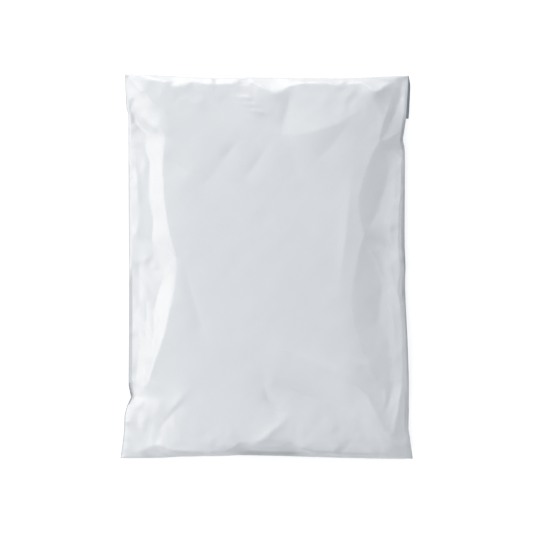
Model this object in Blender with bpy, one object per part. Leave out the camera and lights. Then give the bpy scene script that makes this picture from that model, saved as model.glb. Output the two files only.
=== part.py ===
"""A poly mailer, sealed over a soft folded load and lying on its back.

The bag is one piece of film: folded at the bottom, welded down both sides and closed by a flap that
goes over the top edge and is glued down on the back. With its load sealed in, it is one solid here.

The film stands on the load and is stretched from its folds to the welded edges, so its height is that
of a taut skin held along those lines. +X is to the right of the plain face, +Y is towards the flap,
and the back rests on z = 0.
"""

import bmesh
import bpy
import numpy as np

# Driving dimensions, in metres.
BAG_WIDTH = 0.252  # across the bottom corners
BAG_LENGTH = 0.331  # from the bottom fold to the top fold
LOAD_HEIGHT = 0.036  # of the film over the load, above the rest face
LOAD_CROWN = 0.0022  # further rise along the middle of the face
LOAD_WIDTH = 0.150  # across the top of the load
LOAD_LENGTH = 0.300  # along the top of the load
LOAD_DROP = 0.0018  # how far the load's top falls away at its rim
LOAD_SQUARENESS = 4  # how square the load's outline is
LOAD_POWER = 4  # how late the load's top begins to fall away
REST_WIDTH = 0.176  # of the back that lies flat
REST_LENGTH = 0.262
REST_SHIFT = -0.012  # of its middle, away from the flap
WELD_WIDTH = 0.0030  # of the welded edge
FOLD_WIDTH = 0.0010  # of the folded edges at the ends
WELD_THICKNESS = 0.0012
FLAP_DEPTH = 0.037  # of the flap's right end, from the top fold to its cut edge
FLAP_SKEW = 0.005  # how much less deep its left end is
FLAP_WIDTH = 0.240  # along the top fold
FLAP_SHIFT = 0.0035  # of the flap to the right, where it pokes out past the drawn-in side
FLAP_THICKNESS = 0.0012
FLAP_BITE = 0.0008  # how far the flap's edges are sunk in the film that it is glued to
FLAP_GRIP = 0.0015  # how much further it is sunk inside its edges
FLAP_END = 0.005  # of the flap's ends that are sunk no further than its edges
FLAP_INSET = 0.0008  # of the flap behind the top fold
PUFF = 0.00035  # how much air rounds the film between its folds, per metre of mesh step
MESH_STEP = 0.0022  # of the film's mesh before it is thinned out
KEPT_FACETS = 0.15  # share of the mesh that the thinning keeps
FLAP_COLUMNS = 48
FLAP_ROWS = 6
SKIN_ROUNDS = 420  # that stretch the film
STIFFNESS_ROUNDS = 24  # that let the film bridge its hollows
SOFTENING_ROUNDS = 2  # that give a fold its small radius

PER_CENT = 0.01
EDGE_POWER = 6  # how soon the drawing in of an edge dies away inside it
FILM_COLOUR = (0.70, 0.725, 0.76, 1.0)
FILM_ROUGHNESS = 0.32

# The outline. Places are in per cent of the half width and the half length: a side edge lists
# (place along, place across), and an end lists (place across, place along).
LEFT_EDGE = (
    (-100, -100), (-93, -98.5), (-86, -97.3), (-77, -96.9), (-72, -95), (-68, -92.4), (-62, -94),
    (-12, -93.6), (8, -93.8), (34, -94), (79, -94.3), (82, -95.6), (92, -96.2), (100, -96.7),
)
RIGHT_EDGE = (
    (-100, 100), (-93, 99), (-85, 98), (-75, 98.6), (-62, 98.3), (-51, 97.3), (-33, 96.6), (-12, 96),
    (19, 95.9), (60, 96.2), (63, 94), (66, 94.6), (78, 96), (92, 96.8), (100, 97),
)
TOP_EDGE = (
    (-100, 100), (-83, 99.2), (-56, 98), (-35, 97.2), (-11, 97.6), (23, 97.4), (54, 97.1), (74, 98),
    (100, 99.4),
)
BOTTOM_EDGE = (
    (-100, -100), (-70, -99.4), (-59, -98.6), (-43, -98), (-18, -98.1), (9, -98.5), (43, -99.2), (100, -100),
)

# The height of the edge, in per cent of LOAD_HEIGHT, at places along the side or the end: first
# of its outer line, then of its inner one.
LEFT_LIFT = (
    (-100, 14, 17), (-92, 20, 25), (-80, 28, 33), (-72, 30, 34), (-68, 30, 28), (-60, 38, 32), (-44, 42, 34),
    (-8, 43, 35), (-2, 40, 38), (3, 34, 42), (10, 32, 43), (50, 32, 43), (74, 30, 41), (84, 26, 34),
    (92, 24, 29), (100, 22, 25),
)
RIGHT_LIFT = (
    (-100, 14, 17), (-93, 16, 32), (-84, 20, 42), (-76, 22, 45), (-62, 22, 47), (-40, 20, 47), (-30, 20, 48),
    (-12, 18, 49), (-5, 28, 51), (2, 20, 49), (37, 20, 49), (58, 16, 44), (64, 8, 26), (72, 14, 36),
    (80, 34, 44), (90, 28, 34), (100, 22, 25),
)
TOP_LIFT = (
    (-100, 22, 25), (-92, 42, 46), (-84, 58, 62), (-76, 66, 70), (-60, 68, 72), (-16, 72, 76), (2, 74, 78),
    (45, 70, 74), (72, 64, 68), (84, 50, 54), (91, 36, 40), (100, 22, 25),
)
BOTTOM_LIFT = (
    (-100, 14, 17), (-90, 20, 26), (-78, 26, 34), (-60, 32, 42), (-22, 34, 46), (-8, 28, 46), (28, 28, 46),
    (60, 30, 44), (80, 26, 36), (92, 18, 24), (100, 14, 17),
)

# Folds that the film is stretched over or pulled down by: (place across, place along, height), each in
# per cent, as above.
FOLDS = {
    "tongue shoulder": (
        (-94, 98, 34), (-88.7, 95.2, 54), (-85, 91.5, 68), (-79, 87.3, 80), (-73.5, 84, 87), (-69, 80.3, 91),
        (-66.8, 74.7, 92), (-66.2, 71, 92), (-67.9, 68.2, 90),
    ),
    "tongue ridge": ((-93, 83, 36), (-90, 79.8, 45), (-83.9, 76.1, 61), (-76.5, 73.3, 78), (-70, 69.6, 89)),
    "tongue valley": ((-91.5, 77.5, 34), (-87, 71.5, 43), (-81, 69, 56), (-75, 67, 71), (-69, 65, 87)),
    "left foot above": (
        (-92, 78, 36), (-88, 72, 44), (-83.9, 66.3, 54), (-79.5, 54.3, 61), (-79.5, 34.8, 61),
        (-76.5, 25, 63), (-77.5, 14, 61),
    ),
    "left band": (
        (-69, 65, 87), (-70, 58, 88), (-70.5, 50, 88), (-69.5, 34, 89), (-67, 22, 91), (-64, 12, 93),
        (-61.5, 5, 94),
    ),
    "left arch": ((-78, 13, 61), (-73, 12, 70), (-69.2, 10.1, 78), (-63, 6, 89), (-60.7, 3, 94)),
    "left tip": ((-60.7, 2, 94), (-65, 0, 86), (-70, -1, 75), (-76, -2, 63)),
    "left shoulder below": (
        (-60.7, 2, 94), (-60.6, -1, 94), (-61.9, -9.4, 93.5), (-64.3, -18.6, 93.5), (-69.2, -34.5, 91),
        (-72.9, -42.5, 86), (-77.1, -51.8, 77), (-80.8, -61, 64), (-85.7, -67, 46),
    ),
    "left foot below": (
        (-65.5, -1, 86), (-71.6, -9.4, 70), (-75.3, -18.6, 63), (-75.9, -34.5, 69), (-79, -44, 64),
        (-83, -54, 55),
    ),
    "left fin ridge": ((-87, 0, 45), (-86, -8, 47), (-86.5, -30, 48), (-87.5, -46, 45), (-88.5, -60, 39)),
    "right shoulder": (
        (95, 98, 22), (91.6, 95.2, 38), (86.1, 89.6, 63), (82.4, 80.3, 78), (78.8, 72, 84), (76.6, 64.3, 85),
    ),
    "right ridge": (
        (95.9, 95.2, 21), (91.6, 89.6, 36), (88, 81.2, 52), (84.3, 75.6, 64), (80.6, 69.2, 74),
        (76.6, 64.3, 85),
    ),
    "right facet above": (
        (76.6, 64.3, 85), (72.5, 59, 89), (69.6, 53.3, 91), (66, 45.9, 92), (62.3, 34.7, 95.5),
        (63, 27, 95.5), (66.3, 16.5, 93),
    ),
    "right foot above": (
        (76.6, 64.3, 85), (80, 57, 72), (83, 49.5, 62), (81, 42, 62), (78, 36, 63), (77.4, 27.7, 66),
        (75, 22, 73), (71.3, 19.4, 81), (66.3, 16.5, 93),
    ),
    "right shoulder below": (
        (66.3, 16.5, 93), (63, 8, 95), (60, -4, 96.5), (57.5, -16, 97), (60, -30, 95.5), (64, -40, 92),
        (70, -50, 85), (75, -58, 78),
    ),
    "right tip valley": ((66.3, 16.5, 93), (75, 12, 72), (84, 9.5, 61), (91, 5, 54)),
    "right foot below": (
        (66.3, 16.5, 93), (68.4, 12.1, 86), (73.3, 5.5, 74), (77, -2.9, 67), (78.8, -9.4, 64),
        (77, -18.6, 65), (75.7, -28, 66), (80.6, -34.5, 62), (83, -42, 60), (85.5, -50, 58),
        (83, -59, 62), (80.5, -67, 71), (84, -75, 69), (88, -84, 60), (93, -93, 40),
    ),
    "right corner ridge": (
        (60, -68, 95), (67, -75, 94), (73, -82, 91), (79.5, -90, 82), (88, -95.5, 58), (96.6, -99, 24),
    ),
    "right fin": (
        (91.2, 55, 54), (92, 40, 60), (92, 27, 62), (92, 10, 61), (91.2, 2, 60), (90.5, -5, 61),
        (88.8, -12, 63), (90.5, -20, 62), (92, -30, 61), (92.8, -38, 59), (93, -50, 57), (92, -60, 56),
        (91.5, -70, 60), (92, -79, 59), (93.5, -88, 50),
    ),
    "right pucker ridge": ((76.6, 64.3, 85), (83, 66, 63), (90, 69, 42)),
    "right pucker valley": ((76.6, 64.3, 85), (82, 60.5, 62), (88, 59.5, 46), (93, 61, 28)),
    "top rim": (
        (-84, 97, 70), (-79, 96.5, 78), (-72.9, 96, 86), (-69.2, 95.2, 89), (-64.3, 91.9, 92),
        (-57, 93.3, 91), (-52.1, 94.7, 91), (-48.4, 95.4, 89), (-44.8, 94.4, 93), (-37.4, 93.8, 94),
        (-20.3, 94.3, 94), (-17.3, 95.4, 90), (-11.8, 95.6, 88), (-5, 93, 93), (0, 90.5, 95),
        (5, 88.4, 96), (10, 89.8, 96), (15.9, 92.9, 94), (23.2, 94.4, 93), (37.9, 94.4, 92),
        (47.6, 93.8, 91), (52.5, 92.9, 91), (56.2, 94.2, 88), (64.7, 94.7, 86), (68.4, 93.3, 88),
        (70.9, 91, 90), (74.5, 90, 88), (78.2, 91.4, 82), (81.8, 94.3, 68), (89.1, 96.1, 42),
    ),
    "bottom rim": (
        (-90, -97, 32), (-84, -95.5, 44), (-78, -93.5, 56), (-72, -92.5, 68), (-66, -95, 76),
        (-56, -95.8, 85), (-40, -95.8, 92), (-27, -95.5, 95), (-22, -93.5, 97), (-17, -89, 99),
        (-12, -91, 98), (-7, -94.5, 97), (8, -94.5, 97), (14, -91, 98), (18, -90, 98), (24, -94, 97),
        (34, -95.5, 96), (50, -96, 94), (64, -95.5, 90), (72, -94, 88), (79.5, -90, 82),
    ),
}

# Soft lines on the face: the places that they pass, their rise in metres (a valley's is negative) and
# the distance over which they die away.
CREASES = {
    "upper right fold": (((10, 66), (12, 76), (15, 84), (18, 92)), -0.0024, 0.006),
    "upper right ledge": (((10, 66), (30, 69), (47, 73), (62, 80), (71, 86)), 0.0018, 0.012),
    "upper right valley": (((31, 52), (45, 63), (58, 76)), -0.0012, 0.010),
    "right streak": (((58, 50), (54, 20), (49, -14)), 0.0018, 0.010),
    "upper left streak": (((-31, 54), (-20, 64)), -0.0012, 0.006),
    "upper middle streak": (((-16, 43), (-8, 52), (1, 62)), -0.0012, 0.007),
    "upper left arc": (((-59, 34), (-40, 44), (-22, 60)), -0.0009, 0.012),
    "shoulder streak": (((-70, 60), (-60, 52), (-50, 47)), -0.0014, 0.006),
    "left valley": (((-58, 8), (-53, -8), (-47, -24), (-40, -41)), -0.0018, 0.006),
    "lower valley": (((-2, -60), (13, -63), (31, -69), (47, -74), (63, -79)), -0.0024, 0.007),
    "middle valley": (((-2, -60), (1, -68), (8, -74), (16, -76)), -0.0024, 0.005),
    "hem ridge": (((16, -76), (8, -82), (-2, -88), (-14, -93)), 0.0033, 0.006),
    "lower ridge": (((18, -43), (28, -47), (40, -50), (58, -66), (73, -82), (84, -92)), 0.0024, 0.006),
    "corner ridge": (((55, -48), (68, -51), (74, -57), (84, -67)), 0.0021, 0.005),
    "lower swell": (((-60, -89), (-20, -92), (20, -92), (60, -90)), 0.0030, 0.034),
    "lower left ridge": (((-52, -62), (-60, -70), (-71, -81)), 0.0018, 0.005),
    "lower left valley": (((-52, -67), (-66, -77), (-76, -88)), -0.0021, 0.006),
}




def clear_scene():
    for obj in list(bpy.data.objects):
        bpy.data.objects.remove(obj, do_unlink=True)


def new_collection(name):
    made = bpy.data.collections.new(name)
    bpy.context.scene.collection.children.link(made)
    return made


def film_material():
    made = bpy.data.materials.new("white_film")
    made.use_nodes = True
    shader = made.node_tree.nodes["Principled BSDF"]
    shader.inputs["Base Color"].default_value = FILM_COLOUR
    shader.inputs["Roughness"].default_value = FILM_ROUGHNESS
    return made


def edge_value(line, places, column=1):
    """Value between the listed points of an edge or a lift, at places from -1 to 1."""
    points = np.array(line, float) * PER_CENT
    return np.interp(places, points[:, 0], points[:, column])


def drawn_in(across, up):
    """Where a point of the flat film lies once the load has drawn the edges in, in half sizes."""
    left, right = edge_value(LEFT_EDGE, up) + 1, edge_value(RIGHT_EDGE, up) - 1
    bottom, top = edge_value(BOTTOM_EDGE, across) + 1, edge_value(TOP_EDGE, across) - 1
    x = across + np.where(across < 0, left, right) * np.abs(across) ** EDGE_POWER
    return x, up + np.where(up < 0, bottom, top) * np.abs(up) ** EDGE_POWER


def flattened(x, y):
    """The reverse of drawn_in."""
    across, up = x, y
    for _ in range(8):
        to_x, to_y = drawn_in(across, up)
        across = np.clip(across + x - to_x, -1, 1)
        up = np.clip(up + y - to_y, -1, 1)
    return across, up


def film_lines(size, low_band, high_band):
    """Places of the mesh lines from edge to edge, with a band along each edge."""
    low, high = -1 + 2 * low_band / size, 1 - 2 * high_band / size
    gaps = round(size * (high - low) / 2 / MESH_STEP)
    return np.concatenate(([-1.0], np.linspace(low, high, gaps + 1), [1.0]))


class Film:
    """The skins of the bag as grids over one outline: columns run across the bag and rows along it."""

    def __init__(self):
        self.columns = film_lines(BAG_WIDTH, WELD_WIDTH, WELD_WIDTH)
        self.rows = film_lines(BAG_LENGTH, FOLD_WIDTH, FOLD_WIDTH)
        x, y = drawn_in(*np.meshgrid(self.columns, self.rows))
        self.x = x * BAG_WIDTH / 2
        self.y = y * BAG_LENGTH / 2
        self.edge = np.ones(x.shape, bool)
        self.edge[2:-2, 2:-2] = False
        self.fold_points = set()

    def nearest(self, x, y):
        """Row and column of the grid point nearest to each place in metres."""
        across, up = flattened(2 * x / BAG_WIDTH, 2 * y / BAG_LENGTH)
        column = np.abs(self.columns[:, None] - across).argmin(0)
        row = np.abs(self.rows[:, None] - up).argmin(0)
        return row, column

    def edge_height(self):
        """Height of the welded edge all round, and none inside it."""
        z = np.zeros_like(self.x)
        for ring, column in ((1, 2), (0, 1)):
            z[:, ring] = edge_value(LEFT_LIFT, self.rows, column)
            z[:, -1 - ring] = edge_value(RIGHT_LIFT, self.rows, column)
            z[ring] = edge_value(BOTTOM_LIFT, self.columns, column)
            z[-1 - ring] = edge_value(TOP_LIFT, self.columns, column)
        return z * LOAD_HEIGHT

    def fold(self, z, held, line):
        """Sets the grid points nearest to a fold onto it, and holds them at its height."""
        points = np.array(line, float) * PER_CENT * (BAG_WIDTH / 2, BAG_LENGTH / 2, LOAD_HEIGHT)
        for start, end in zip(points, points[1:]):
            step = end - start
            length = np.hypot(*step[:2])
            t = np.linspace(0, 1, 2 + int(2 * length / MESH_STEP))
            row, column = self.nearest(start[0] + t * step[0], start[1] + t * step[1])
            free = ~self.edge[row, column]
            at = row[free], column[free]
            t = ((self.x[at] - start[0]) * step[0] + (self.y[at] - start[1]) * step[1]) / length**2
            t = np.clip(t, 0, 1)
            self.x[at] = start[0] + t * step[0]
            self.y[at] = start[1] + t * step[1]
            z[at] = start[2] + t * step[2]
            held[at] = True
            self.fold_points.update(zip(*(part.tolist() for part in at)))


def stretch(z, held, floor, puff):
    """Relaxes the free points of z to the height of a taut skin between the held ones, never below floor."""
    rows, columns = np.indices(z.shape)
    inner = np.zeros(z.shape, bool)
    inner[1:-1, 1:-1] = True
    colours = [inner & ~held & ((rows + columns) % 2 == colour) for colour in (0, 1)]
    over_relaxed = 1.94
    for _ in range(SKIN_ROUNDS):
        for points in colours:
            mean = (np.roll(z, 1, 0) + np.roll(z, -1, 0) + np.roll(z, 1, 1) + np.roll(z, -1, 1)) / 4
            moved = z + over_relaxed * (mean + puff - z)
            z[points] = np.maximum(moved, floor)[points]
    return z


def soften(z, rounds, kept):
    """Draws each point towards its neighbours, round by round, but for the kept ones."""
    heights = z[kept]
    for _ in range(int(rounds)):
        inner = (z[:-2, 1:-1] + z[2:, 1:-1] + z[1:-1, :-2] + z[1:-1, 2:]) / 4
        z[1:-1, 1:-1] = (z[1:-1, 1:-1] + inner) / 2
        z[kept] = heights
    return z


def load_top(film):
    """Height of the folded load under the face, and far below the floor outside it."""
    side, end = 2 * np.abs(film.x) / LOAD_WIDTH, 2 * np.abs(film.y) / LOAD_LENGTH
    out = (side**LOAD_SQUARENESS + end**LOAD_SQUARENESS) ** (1 / LOAD_SQUARENESS)
    top = LOAD_HEIGHT + LOAD_CROWN * (1 - side**2) - LOAD_DROP * out**LOAD_POWER
    return np.where(out < 1, top, -1.0)


def distance_to(line, x, y):
    """Distance of each grid point from a crease, and how far along it lies (0 to 1)."""
    points = np.array(line, float) * PER_CENT * (BAG_WIDTH / 2, BAG_LENGTH / 2)
    steps = np.diff(points, axis=0)
    lengths = np.hypot(*steps.T)
    best, share, gone = np.full(x.shape, np.inf), np.zeros(x.shape), 0.0
    for start, step, length in zip(points, steps, lengths):
        t = np.clip(((x - start[0]) * step[0] + (y - start[1]) * step[1]) / length**2, 0, 1)
        away = np.hypot(x - start[0] - t * step[0], y - start[1] - t * step[1])
        share = np.where(away < best, (gone + t * length) / lengths.sum(), share)
        best = np.minimum(best, away)
        gone += length
    return best, share


def face_height(film):
    """The plain face: a skin over the load and its folds, with the soft creases laid on."""
    z = film.edge_height() + WELD_THICKNESS / 2
    held = film.edge.copy()
    z[~held] = LOAD_HEIGHT / 2
    for line in FOLDS.values():
        film.fold(z, held, line)
    z = stretch(z, held, load_top(film), PUFF * MESH_STEP)
    z = soften(z, STIFFNESS_ROUNDS, held)
    for line, rise, width in CREASES.values():
        away, share = distance_to(line, film.x, film.y)
        z += rise * np.exp(-away / width) * np.sin(np.pi * np.clip(share, 0.08, 0.92)) * ~film.edge
    return soften(z, SOFTENING_ROUNDS, film.edge)


def back_height(film):
    """The back: flat under the load, then up to the welded edge."""
    z = film.edge_height() - WELD_THICKNESS / 2
    rest = (np.abs(film.x) < REST_WIDTH / 2) & (np.abs(film.y - REST_SHIFT) < REST_LENGTH / 2)
    return np.maximum(stretch(z, film.edge | rest, 0.0, 0.0), 0.0)


def closed_skins(film, face, back):
    """The film as a closed shell: a grid for the back, extruded once for the face, each set to its height."""
    bm = bmesh.new()
    bmesh.ops.create_grid(bm, x_segments=len(film.columns) - 1, y_segments=len(film.rows) - 1, size=1)
    raised = bmesh.ops.extrude_face_region(bm, geom=bm.faces[:])["geom"]
    on_face = {vert for vert in raised if isinstance(vert, bmesh.types.BMVert)}
    folded = set()
    for vert in bm.verts:
        row = round((vert.co.y + 1) / 2 * (len(film.rows) - 1))
        column = round((vert.co.x + 1) / 2 * (len(film.columns) - 1))
        height = face if vert in on_face else back
        vert.co = (film.x[row, column], film.y[row, column], height[row, column])
        if vert in on_face and (row, column) in film.fold_points:
            folded.add(vert)
    for quad in bm.faces[:]:
        corners = [vert for vert in quad.verts if vert in folded]
        if len(corners) == 2 and not any(edge.other_vert(corners[0]) == corners[1] for edge in quad.edges
                                         if corners[0] in edge.verts):
            bmesh.utils.face_split(quad, *corners)
    bmesh.ops.recalc_face_normals(bm, faces=bm.faces)
    return new_mesh(bm, "mailer_bag")


def new_mesh(bm, name):
    mesh = bpy.data.meshes.new(name)
    bm.to_mesh(mesh)
    bm.free()
    return mesh


def flap(film, back):
    """The glued flap: a thin strip that follows the back from just behind the top fold."""
    bm = bmesh.new()
    made = bmesh.ops.create_grid(bm, x_segments=FLAP_COLUMNS, y_segments=FLAP_ROWS, size=0.5)
    sheet = {vert: (vert.co.x, vert.co.y + 0.5) for vert in made["verts"]}
    raised = bmesh.ops.extrude_face_region(bm, geom=bm.faces[:])["geom"]
    for vert in [vert for vert in raised if isinstance(vert, bmesh.types.BMVert)]:
        sheet[vert] = (vert.co.x, vert.co.y + 0.5)
        vert.co.z = 1
    for vert, (across, up) in sheet.items():
        depth = FLAP_DEPTH - FLAP_SKEW * (0.5 - across)
        x = FLAP_SHIFT + across * FLAP_WIDTH
        top = edge_value(TOP_EDGE, np.clip(2 * x / BAG_WIDTH, -1, 1)) * BAG_LENGTH / 2
        y = top - FLAP_INSET - (1 - up) * (depth - FLAP_INSET)
        past_end = FLAP_WIDTH * (0.5 - abs(across)) / FLAP_END - 1
        deep = min(1, max(0, past_end), (1 - up) * depth / WELD_WIDTH)
        sunk = FLAP_BITE + FLAP_GRIP * deep if vert.co.z else FLAP_BITE - FLAP_THICKNESS
        vert.co = (x, y, back_at(film, back, x, y) + sunk)
    bmesh.ops.recalc_face_normals(bm, faces=bm.faces)
    return new_mesh(bm, "flap")


def back_at(film, back, x, y):
    """Height of the back at a place in metres, by the four grid points round it."""
    across, up = flattened(2 * x / BAG_WIDTH, 2 * y / BAG_LENGTH)
    column = np.interp(across, film.columns, np.arange(len(film.columns)))
    row = np.interp(up, film.rows, np.arange(len(film.rows)))
    left, low = min(int(column), len(film.columns) - 2), min(int(row), len(film.rows) - 2)
    right_share, high_share = column - left, row - low
    low_side = back[low, left] * (1 - right_share) + back[low, left + 1] * right_share
    high_side = back[low + 1, left] * (1 - right_share) + back[low + 1, left + 1] * right_share
    return low_side * (1 - high_share) + high_side * high_share


def main():
    clear_scene()
    collection = new_collection("poly_mailer")
    film = Film()
    face = face_height(film)
    back = back_height(film)
    face = np.maximum(face, back + WELD_THICKNESS)
    bag = bpy.data.objects.new("mailer_bag", closed_skins(film, face, back))
    bag.data.materials.append(film_material())
    collection.objects.link(bag)
    glued = bpy.data.objects.new("flap_to_glue", flap(film, back))
    glued.hide_render = True
    glued.display_type = "WIRE"
    collection.objects.link(glued)
    thin = bag.modifiers.new("fewer facets", "DECIMATE")
    thin.ratio = KEPT_FACETS
    join = bag.modifiers.new("glued flap", "BOOLEAN")
    join.operation = "UNION"
    join.solver = "EXACT"
    join.object = glued


main()
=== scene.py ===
"""A white poly mailer, sealed over a soft folded load, lying on its back in plain studio light.

The film bag is one closed skin: a grid for the back, extruded once for the plain face. The face stands
on the load and is stretched from its folds to the welded edges. The flap goes over the top fold and
is glued to the back, and its right end shows the film's grey inside.
"""

import bmesh
import bpy
import numpy as np
from bpy.props import FloatProperty, FloatVectorProperty, IntProperty, PointerProperty
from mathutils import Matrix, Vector


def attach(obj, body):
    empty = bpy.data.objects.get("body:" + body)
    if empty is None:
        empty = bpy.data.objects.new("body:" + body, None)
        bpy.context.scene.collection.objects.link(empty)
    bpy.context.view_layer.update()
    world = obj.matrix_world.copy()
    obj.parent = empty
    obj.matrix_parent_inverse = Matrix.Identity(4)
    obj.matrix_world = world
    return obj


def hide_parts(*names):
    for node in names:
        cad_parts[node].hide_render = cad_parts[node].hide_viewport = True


bl_info = {
    "name": "Poly Mailer",
    "version": (1, 0, 0),
    "blender": (4, 5, 0),
    "location": "View3D > Sidebar > Mailer",
    "description": "Models a sealed poly mailer over a soft load, with its flap and a studio",
    "category": "Object",
}

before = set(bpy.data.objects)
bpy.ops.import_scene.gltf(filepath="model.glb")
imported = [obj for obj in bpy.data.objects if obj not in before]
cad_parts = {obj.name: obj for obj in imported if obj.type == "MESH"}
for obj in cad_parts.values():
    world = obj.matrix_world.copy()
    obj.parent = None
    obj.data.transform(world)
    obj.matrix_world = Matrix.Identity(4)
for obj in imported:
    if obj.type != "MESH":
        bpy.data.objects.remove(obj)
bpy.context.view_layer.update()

PER_CENT = 0.01

# How soon the drawing in of an edge dies away inside it.
EDGE_POWER = 6

# Rounds that find the flat place of a point that was drawn in.
FLATTENING_ROUNDS = 8

# How far each round of stretching goes past the mean of a point's neighbours, which settles it sooner.
OVER_RELAXED = 1.96

# The part of a crease over which it rises and sinks again. Past this it keeps the height of its end.
CREASE_START, CREASE_END = 0.08, 0.92

# Share of the half length above which the flap covers the right weld's cut edge.
FLAP_FROM = 0.76

# The grey attribute: the value at which grey begins to show, the one at which it is full, and how much
# the painted shade in the welds and the bottom fold adds to the first.
GREY_START, GREY_FULL, PAINTED_SHADE_SCALE = 0.6, 0.85, 0.16

# How far the painted shade reaches in from the edge, in metres, and over what distance it fades: in the side
# welds, in the roll of the bottom fold and above that roll, where it fades all the way.
WELD_REACH, WELD_FADE = 0.0058, 0.0018
ROLL_REACH, ROLL_FADE = 0.0080, 0.0040
HEM_FADE = 0.012

# Turn of the ripples on the face, in radians.
RIPPLE_TURN = -0.7

# The studio, in metres: the side of each square lamp, the point that the lamps aim at, half the side of
# the floor and the level at which the picture has its frame width. Then the floor's colour and own light.
LAMP_SIDE = 0.8
LAMP_TARGET = (0, 0, 0.02)
FLOOR_HALF = 3
FRAME_LEVEL = 0.008
FLOOR_COLOUR = (0.6, 0.6, 0.6, 1)
FLOOR_GLOW = 0.62

# The outline. Places are in per cent of the half width and the half length: a side edge lists
# (place along, place across), and an end lists (place across, place along).
LEFT_EDGE = (
    (-100, -100), (-93, -98.5), (-86, -97.3), (-77, -96.9), (-72, -95), (-68, -92.4), (-62, -94),
    (-12, -93.6), (8, -93.8), (34, -94), (79, -94.3), (82, -95.6), (92, -96.2), (100, -96.7),
)
RIGHT_EDGE = (
    (-100, 100), (-93, 98.5), (-85, 97.2), (-75, 97.5), (-62, 97.2), (-51, 96.7), (-33, 95.8),
    (-12, 94.9), (19, 94.5), (60, 94.6), (62.5, 94.4), (66, 93.4), (70, 94.2), (78, 95.6), (92, 96.8),
    (100, 97),
)
TOP_EDGE = (
    (-100, 100), (-83, 99.2), (-56, 98), (-35, 97.2), (-11, 97.6), (23, 97.4), (54, 97.1), (74, 98),
    (100, 99.4),
)
BOTTOM_EDGE = (
    (-100, -100), (-70, -99.4), (-59, -98.6), (-43, -98), (-18, -98.1), (9, -98.5), (43, -99.2), (100, -100),
)

# The height of the edge, in per cent of the load's height, at places along the side or the end: first
# of its outer line, then of its inner one.
LEFT_LIFT = (
    (-100, 14, 17), (-92, 20, 25), (-80, 28, 33), (-72, 30, 34), (-68, 30, 28), (-60, 38, 34), (-44, 40, 36),
    (-8, 41, 37), (-2, 40, 39), (3, 34, 42), (10, 32, 43), (50, 32, 43), (74, 30, 41), (80, 33, 43),
    (86, 36, 46), (92, 38, 46), (100, 34, 38),
)
RIGHT_LIFT = (
    (-100, 24, 32), (-94, 38, 56), (-89, 34, 58), (-85, 14, 42), (-79, 10, 36), (-71, 12, 38), (-66, 26, 48),
    (-60, 38, 50), (-52, 44, 52), (-36, 44, 52), (-30, 36, 48), (-22, 24, 42), (-13, 16, 38),
    (-6, 20, 42), (-1, 42, 49), (3, 36, 46), (11, 16, 38), (27, 18, 42), (40, 22, 46), (53, 26, 50),
    (60, 18, 46), (64, 8, 34), (67, 6, 44), (70, 10, 54), (76, 26, 57), (80, 38, 56), (90, 32, 42),
    (100, 22, 25),
)
TOP_LIFT = (
    (-100, 34, 38), (-94, 50, 54), (-88, 62, 66), (-80, 68, 72), (-66, 70, 74), (-60, 73, 77), (-50, 78, 82),
    (-37, 79, 83), (-20, 80, 84), (-14, 80, 83), (-5, 75, 79), (5, 71, 75), (16, 75, 79), (30, 77, 81),
    (45, 74, 78), (60, 73, 77), (70, 64, 68), (76, 57, 61), (84, 46, 50), (91, 36, 40), (100, 22, 25),
)
BOTTOM_LIFT = (
    (-100, 14, 17), (-90, 20, 26), (-78, 28, 35), (-64, 36, 44), (-58, 48, 58), (-50, 66, 76), (-36, 70, 80),
    (-27, 54, 66), (-20, 32, 46), (-8, 28, 46), (28, 32, 46), (60, 42, 58), (80, 46, 60), (92, 38, 48),
    (100, 24, 30),
)

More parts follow.
